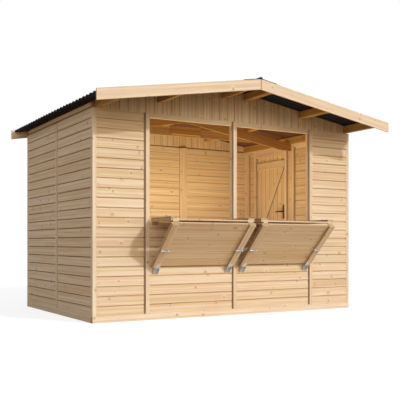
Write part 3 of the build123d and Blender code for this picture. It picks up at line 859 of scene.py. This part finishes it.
class STALL_OT_gables(bpy.types.Operator):
    """Board the gables with upright planks"""

    bl_idname = "stall.gables"
    bl_label = "Gables"

    def execute(self, context):
        boards, shade = settings().boards, settings().shade
        across = Vector((1, 0, 0))
        for node, inward in (("front_gable", 1), ("back_gable", -1)):
            bm = solids_of(node)
            low, high = corners(bm.verts)
            pairs = round((high.x - low.x) / 2 / boards.plank)
            inner = high.y if inward > 0 else low.y
            foot = [
                edge for edge in bm.edges
                if all(abs(vert.co.z - low.z) + abs(vert.co.y - inner) < MERGE for vert in edge.verts)
            ]
            # The open joint between the wall and the gable is a chamfer inside, with painted shade in it so
            # that it shows as a dark line
            paint_shade(bm, chamfer(bm, foot, boards.foot_chamfer), shade.gable_foot)
            # The grooves between the planks get painted shade too
            paint_shade(bm, cut_planks(bm, UP, across, 2 * pairs, boards.groove), shade.gables)
            lay_grain(bm, node)
            show("planked_" + node, bm, "sawn_spruce", "hut", "spruce_boards", node)
        return {"FINISHED"}


class STALL_OT_roof_timber(bpy.types.Operator):
    """Plane the purlins, the truss and the bargeboards"""

    bl_idname = "stall.roof_timber"
    bl_label = "Roof timber"

    def execute(self, context):
        # The purlins and the truss take the darker spruce, as painted shade under the roof
        for node in ("purlins", "truss_rafters", "truss_collar", "truss_cleat"):
            timber(node, material="shaded_spruce")
        for node in ("right_bargeboards", "left_bargeboards"):
            timber(node)
        return {"FINISHED"}


class STALL_OT_roofing(bpy.types.Operator):
    """Lay the waved sheets, the ridge cap and the roofing nails"""

    bl_idname = "stall.roofing"
    bl_label = "Roofing"

    def execute(self, context):
        roofing = settings().roofing
        caps = bmesh.new()
        for node in ("right_roof_sheet", "left_roof_sheet"):
            for place, normal in self.slope(node):
                knob(
                    caps, place, normal, roofing.cap_radius, roofing.cap_height, roofing.cap_top_share,
                    roofing.cap_sides,
                )
        show("roofing_nails", caps, "bitumen_fibre", "hut", "bitumen_sheet")
        show(
            "folded_ridge_cap", solids_of("ridge_cap"), "bitumen_fibre", "hut", "bitumen_sheet", "ridge_cap",
            smooth_angle=FOLD_ANGLE,
        )
        return {"FINISHED"}

    def slope(self, node):
        """Sheets side by side on one slope, each lapping its neighbour by a wave."""
        roofing = settings().roofing
        source = solids_of(node)
        edges = sorted(source.edges, key=lambda edge: -edge.calc_length())
        down = direction(edges[0])
        if down.z > 0:
            down = -down
        along = Vector((0, 1, 0))
        out = down.cross(along)
        if out.z < 0:
            out = -out
        spans = [span(source.verts, axis) for axis in (down, along, out)]
        source.free()
        (top, eave), (start, end), (under, crest) = spans
        pitch = (end - start) / roofing.waves
        rise = crest - under - 2 * roofing.thickness
        each = roofing.waves // roofing.sheets
        bm = bmesh.new()
        for sheet in range(roofing.sheets):
            is_over = sheet % 2
            first = sheet * each - is_over
            last = (sheet + 1) * each + is_over
            steps = (last - first) * roofing.wave_steps
            verts = bmesh.ops.create_grid(bm, x_segments=1, y_segments=steps, size=0.5)["verts"]
            lift = under + is_over * roofing.thickness
            for vert in verts:
                wave = first + (vert.co.y + 0.5) * (last - first)
                height = lift + rise * (1 - math.cos(2 * math.pi * wave)) / 2
                reach = top + (vert.co.x + 0.5) * (eave - top)
                vert.co = down * reach + along * (start + wave * pitch) + out * height
            faces = list(dict.fromkeys(face for vert in verts for face in vert.link_faces))
            thicken(bm, faces, out * roofing.thickness)
        bmesh.ops.recalc_face_normals(bm, faces=bm.faces)
        show(
            "waved_" + node, bm, "bitumen_fibre", "hut", "bitumen_sheet", node, smooth_angle=WAVE_ANGLE
        )
        return self.nail_places(down, along, out, start + pitch / 2, pitch, crest)

    def nail_places(self, down, along, out, first, pitch, crest):
        """Places on the wave crests over the purlins, or on the ridge cap where it lies over them."""
        roofing = settings().roofing
        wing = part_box("ridge_cap")[1].x
        places = []
        for low, high in boxes_of("purlins"):
            x = (low.x + high.x) / 2
            if x * down.x < 0:
                continue
            height = crest + (roofing.thickness if abs(x) < wing else 0)
            reach = (x - out.x * height) / down.x
            for wave in range(1, roofing.waves, roofing.nail_waves):
                places.append((down * reach + along * (first + wave * pitch) + out * height, out))
        return places


class STALL_OT_hatches(bpy.types.Operator):
    """Plank the counters and flaps of the folding hatches, with their rails"""

    bl_idname = "stall.hatches"
    bl_label = "Hatches"

    def execute(self, context):
        plank, shade = settings().boards.plank, settings().shade
        rail_sides = [(-1, 0, 0), (1, 0, 0)]
        for side in SIDES:
            for part in ("counter", "flap"):
                body = f"{side}_{part}"
                bm = solids_of(body + "_boards")
                along, across = piece_axes(bm.verts)[:2]
                low, high = span(bm.verts, across)
                bm.free()
                count = round((high - low) / plank)
                # Painted shade darkens the grooves between the planks and the sides of the rails
                planked(body + "_boards", along, across, count, body, shade.hatches)
                timber(body + "_rails", body, dark_sides=rail_sides, depth=shade.hatch_rails)
        return {"FINISHED"}


class STALL_OT_door(bpy.types.Operator):
    """Plank the door, with its ledges and braces"""

    bl_idname = "stall.door"
    bl_label = "Door"

    def execute(self, context):
        low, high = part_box("door_leaf")
        count = round((high.y - low.y) / settings().boards.plank)
        shade = settings().shade
        # Painted shade darkens the grooves between the planks and the lower edges of the braces
        planked("door_leaf", UP, Vector((0, 1, 0)), count, "door", shade.door)
        timber("door_ledges", "door")
        timber("door_braces", "door", dark_sides=self.undersides("door_braces"), depth=shade.braces)
        return {"FINISHED"}

    def undersides(self, node):
        """Directions in which the lower edges of slanting timbers face."""
        bm = solids_of(node)
        axes = [axis for verts in islands(bm) for axis in piece_axes(verts)[1:]]
        bm.free()
        return [-axis if axis.z > 0 else axis for axis in axes if abs(axis.z) > CROSSING]


class STALL_OT_ironwork(bpy.types.Operator):
    """Finish the hinges, bolts, brackets and handles"""

    bl_idname = "stall.ironwork"
    bl_label = "Ironwork"

    def execute(self, context):
        fittings = [
            ("sill_hinges", "hut"), ("rest_brackets", "hut"), ("door_frame_hinges", "hut"),
            ("door_leaf_hinges", "door"),
        ]
        for side in SIDES:
            fittings.append((f"{side}_counter_hinges", f"{side}_counter"))
            fittings += [(f"{side}_flap_{kind}", f"{side}_flap") for kind in ("hinges", "fittings")]
        for node, body in fittings:
            bm, material = solids_of(node), "zinc_plate"
            if node.endswith("hinges"):
                material = "yellow_zinc"
                self.screws(bm)
            show("pressed_" + node, bm, material, body, "zinc_steel", node, smooth_angle=FOLD_ANGLE)
        show(
            "painted_door_handles", solids_of("door_handles"), "painted_iron", "door", "dark_iron",
            "door_handles", smooth_angle=FOLD_ANGLE,
        )
        return {"FINISHED"}

    def screws(self, bm):
        """Three screws in a row on the open face of each hinge leaf."""
        nails = settings().nails
        places = []
        for verts in islands(bm):
            faces = dict.fromkeys(face for vert in verts for face in vert.link_faces)
            # The barrel stands in front of the open face, and nothing stands behind the back
            leaves = [
                face for face in faces
                if span(verts, face.normal)[1] - face.verts[0].co.dot(face.normal) > nails.screw_radius / 2
            ]
            leaf = max(leaves, key=lambda face: face.calc_area())
            long_edge = max(leaf.edges, key=lambda edge: edge.calc_length())
            run = direction(long_edge) * long_edge.calc_length()
            for share in (-nails.screw_spread, 0, nails.screw_spread):
                places.append((leaf.calc_center_median() + run * share, leaf.normal.copy()))
        for place, normal in places:
            knob(
                bm, place, normal, nails.screw_radius, nails.screw_height, nails.screw_top_share,
                nails.screw_sides,
            )


class STALL_OT_stage(bpy.types.Operator):
    """Set up the floor, the light and the camera"""

    bl_idname = "stall.stage"
    bl_label = "Stage"

    def execute(self, context):
        self.floor(context)
        self.surroundings(context)
        self.lamps(context)
        self.camera(context)
        context.scene.view_settings.view_transform = "Standard"
        return {"FINISHED"}

    def stand(self, context, name, data, way, place=(0, 0, 0)):
        """Put a lamp or a camera in its place, facing along a direction."""
        made = bpy.data.objects.new(name, data)
        made.location = place
        made.rotation_mode = "QUATERNION"
        made.rotation_quaternion = Vector(way).to_track_quat("-Z", "Y")
        context.scene.collection.objects.link(made)
        return made

    def in_view(self, tree):
        """One on rays that show a background: straight, mirrored or through glass."""
        path = add(tree, "ShaderNodeLightPath").outputs
        seen = path["Is Camera Ray"]
        for other in ("Is Glossy Ray", "Is Transmission Ray"):
            seen = add(tree, "ShaderNodeMath", {0: seen, 1: path[other]}, operation="MAXIMUM").outputs[0]
        return seen

    def floor(self, context):
        """A pale floor, lifted to white in view apart from the stall's shadow."""
        stage, colours = settings().stage, settings().colours
        material, tree = blank("pale_floor")
        seen = self.in_view(tree)
        lift = add(tree, "ShaderNodeMath", {0: seen, 1: stage.floor_lift}, operation="MULTIPLY").outputs[0]
        tint = add(
            tree, "ShaderNodeMix", {0: seen, 6: opaque(colours.ground), 7: opaque(colours.floor)},
            data_type="RGBA",
        ).outputs[2]
        shader = add(
            tree, "ShaderNodeBsdfPrincipled",
            {"Base Color": tint, "Roughness": 0.9, "Specular IOR Level": 0, "Emission Color": (1, 1, 1, 1),
             "Emission Strength": lift},
        )
        add(tree, "ShaderNodeOutputMaterial", {"Surface": shader.outputs[0]})
        bm = bmesh.new()
        bmesh.ops.create_grid(bm, x_segments=1, y_segments=1, size=stage.floor_half)
        mesh = bpy.data.meshes.new("floor")
        bm.to_mesh(mesh)
        bm.free()
        mesh.materials.append(material)
        ground = bpy.data.objects.new("floor", mesh)
        context.scene.collection.objects.link(ground)

    def surroundings(self, context):
        """Light from all round and from soft boxes, with white in view."""
        stage = settings().stage
        # Heights on the sky between which the soft boxes rise from a low glow, and fade again
        rise_from, rise_to, low_glow = 0.05, 0.25, 0.3
        fade_from, fade_to = 0.4, 0.6
        world = bpy.data.worlds.new("studio")
        world.use_nodes = True
        tree = world.node_tree
        tree.nodes.clear()
        light = add(
            tree, "ShaderNodeBackground", {"Color": opaque(stage.fill), "Strength": stage.fill_strength}
        ).outputs[0]
        way = add(tree, "ShaderNodeTexCoord").outputs["Generated"]
        height = add(tree, "ShaderNodeSeparateXYZ", {0: way}).outputs["Z"]
        rise = add(
            tree, "ShaderNodeMapRange", {0: height, 1: rise_from, 2: rise_to, 3: low_glow, 4: 1},
            interpolation_type="SMOOTHSTEP",
        ).outputs[0]
        fade = add(
            tree, "ShaderNodeMapRange", {0: height, 1: fade_from, 2: fade_to, 3: 1, 4: 0},
            interpolation_type="SMOOTHSTEP",
        ).outputs[0]
        band = add(tree, "ShaderNodeMath", {0: rise, 1: fade}, operation="MULTIPLY").outputs[0]
        boxes = (
            (stage.front_way, stage.front, stage.front_strength, band),
            (stage.side_way, stage.side, stage.side_strength, rise),
            (stage.back_way, stage.back, stage.back_strength, band),
        )
        for towards, tint, strength, reach in boxes:
            turn = add(
                tree, "ShaderNodeVectorMath", {0: way, 1: towards}, operation="DOT_PRODUCT"
            ).outputs["Value"]
            share = add(tree, "ShaderNodeMath", {0: turn, 1: 0}, operation="MAXIMUM").outputs[0]
            for other in (reach, strength):
                share = add(tree, "ShaderNodeMath", {0: share, 1: other}, operation="MULTIPLY").outputs[0]
            box = add(tree, "ShaderNodeBackground", {"Color": opaque(tint), "Strength": share}).outputs[0]
            light = add(tree, "ShaderNodeAddShader", {0: light, 1: box}).outputs[0]
        white = add(tree, "ShaderNodeBackground", {"Color": (1, 1, 1, 1), "Strength": 1}).outputs[0]
        both = add(tree, "ShaderNodeMixShader", {0: self.in_view(tree), 1: light, 2: white}).outputs[0]
        add(tree, "ShaderNodeOutputWorld", {"Surface": both})
        context.scene.world = world

    def lamps(self, context):
        """The low sun, and the light that the ground and the walls throw back inside."""
        stage = settings().stage
        sun = bpy.data.lights.new("key", "SUN")
        sun.energy, sun.angle, sun.color = stage.sun_strength, stage.sun_width, stage.sun
        self.stand(context, "key", sun, stage.sun_way)
        glows = {
            "ground_glow": (
                stage.inside_power, stage.inside, stage.inside_width, stage.inside_depth, stage.inside_way,
                stage.inside_place,
            ),
            "roof_glow": (
                stage.roof_power, stage.roof, stage.roof_width, stage.roof_depth, UP, stage.roof_place
            ),
        }
        for name, (watts, tint, width, depth, way, place) in glows.items():
            panel = bpy.data.lights.new(name, "AREA")
            panel.shape = "RECTANGLE"
            panel.energy, panel.color = watts, tint
            panel.size, panel.size_y = width, depth
            self.stand(context, name, panel, way, place).visible_camera = False

    def camera(self, context):
        """The camera at the photograph's place."""
        stage = settings().stage
        optics = bpy.data.cameras.new("camera")
        optics.sensor_width, optics.lens, optics.shift_y = stage.sensor, stage.lens, stage.camera_shift
        context.scene.camera = self.stand(context, "camera", optics, stage.camera_way, stage.camera_place)


class StallSettings(bpy.types.PropertyGroup):
    """All settings of the stall."""

    boards: PointerProperty(type=StallBoards)
    shade: PointerProperty(type=StallShade)
    nails: PointerProperty(type=StallNails)
    roofing: PointerProperty(type=StallRoofing)
    colours: PointerProperty(type=StallColours)
    stage: PointerProperty(type=StallStage)


STEPS = (
    "wall_boards", "cover_strips", "frame_timber", "gables", "roof_timber", "roofing", "hatches", "door",
    "ironwork", "stage",
)


class STALL_PT_panel(bpy.types.Panel):
    """Steps that build the stall"""

    bl_idname = "STALL_PT_panel"
    bl_label = "Market stall"
    bl_space_type = "VIEW_3D"
    bl_region_type = "UI"
    bl_category = "Stall"

    def draw(self, context):
        for step in STEPS:
            self.layout.operator("stall." + step)


CLASSES = (
    StallBoards, StallShade, StallNails, StallRoofing, StallColours, StallStage, StallSettings,
    STALL_OT_wall_boards, STALL_OT_cover_strips, STALL_OT_frame_timber, STALL_OT_gables,
    STALL_OT_roof_timber, STALL_OT_roofing, STALL_OT_hatches, STALL_OT_door, STALL_OT_ironwork,
    STALL_OT_stage, STALL_PT_panel,
)


def register():
    """Register the classes and the scene's settings."""
    for each in CLASSES:
        bpy.utils.register_class(each)
    bpy.types.Scene.stall = PointerProperty(type=StallSettings)


def unregister():
    """Take the settings and the classes out again."""
    del bpy.types.Scene.stall
    for each in reversed(CLASSES):
        bpy.utils.unregister_class(each)


def main():
    """Build the stall and its stage."""
    register()
    for step in STEPS:
        getattr(bpy.ops.stall, step)()


if __name__ == "__main__":
    main()
